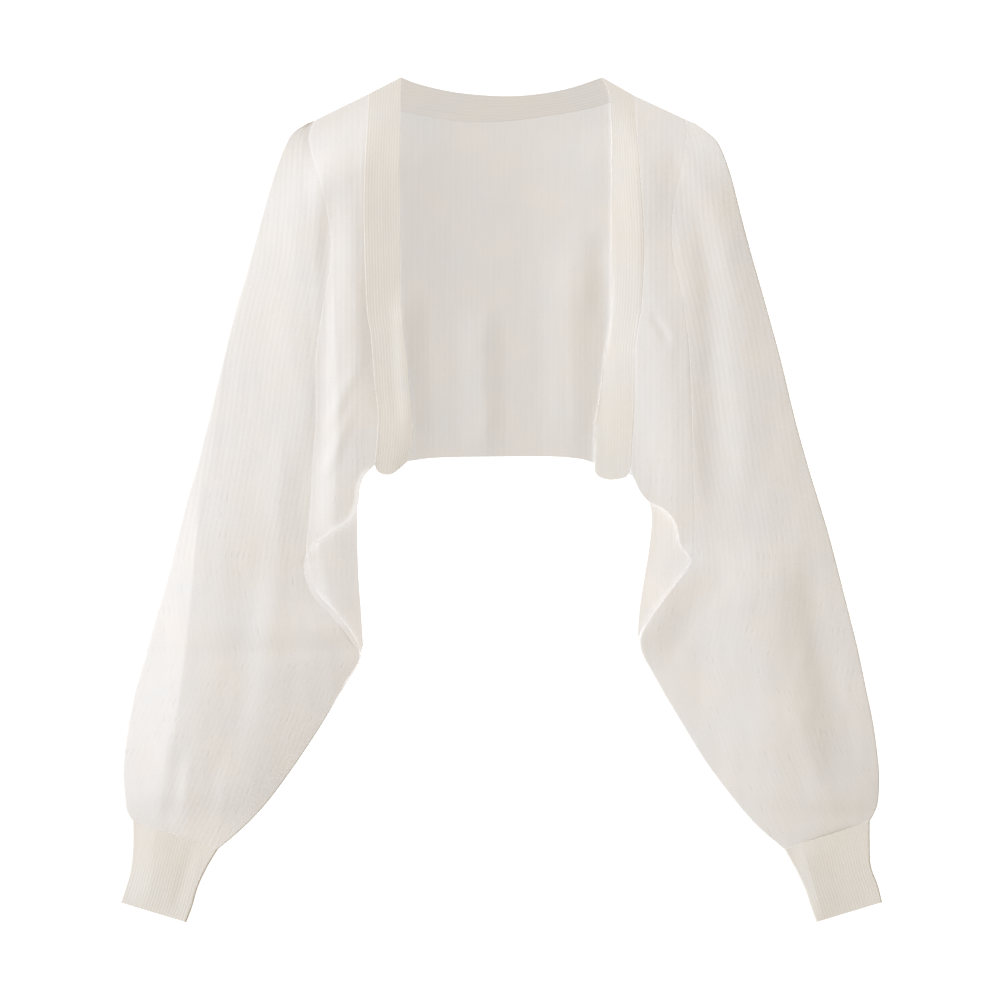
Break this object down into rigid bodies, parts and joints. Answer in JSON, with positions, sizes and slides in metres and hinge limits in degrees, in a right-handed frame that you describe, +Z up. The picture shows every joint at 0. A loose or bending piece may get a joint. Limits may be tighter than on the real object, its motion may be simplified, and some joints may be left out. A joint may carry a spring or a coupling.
{
  "type": "knit cardigan, cropped and open-fronted, laid flat",
  "caption": "Cropped open-front cardigan in off-white fine knit with full balloon sleeves, ribbed front and neck bands and ribbed cuffs, laid flat with its front up.",
  "frame": {"origin": "centre of the garment's outline as laid, on the surface it lies on", "axes": "+X across the garment, +Y from hem to neck, +Z up from the surface, out of the garment's front"},
  "size_m": [0.6462, 0.7161, 0.0079],
  "materials": {
    "knit": "soft matte fine-gauge knit, off-white",
    "rib": "soft matte fine rib, off-white"
  },
  "bodies": {
    "root": {"back": "knit", "front_left": "knit", "front_right": "knit", "sleeve_left": "knit", "sleeve_right": "knit", "cuff_left": "rib", "cuff_right": "rib", "neckband": "rib", "band_left": "rib", "band_right": "rib"}
  },
  "joints": []
}
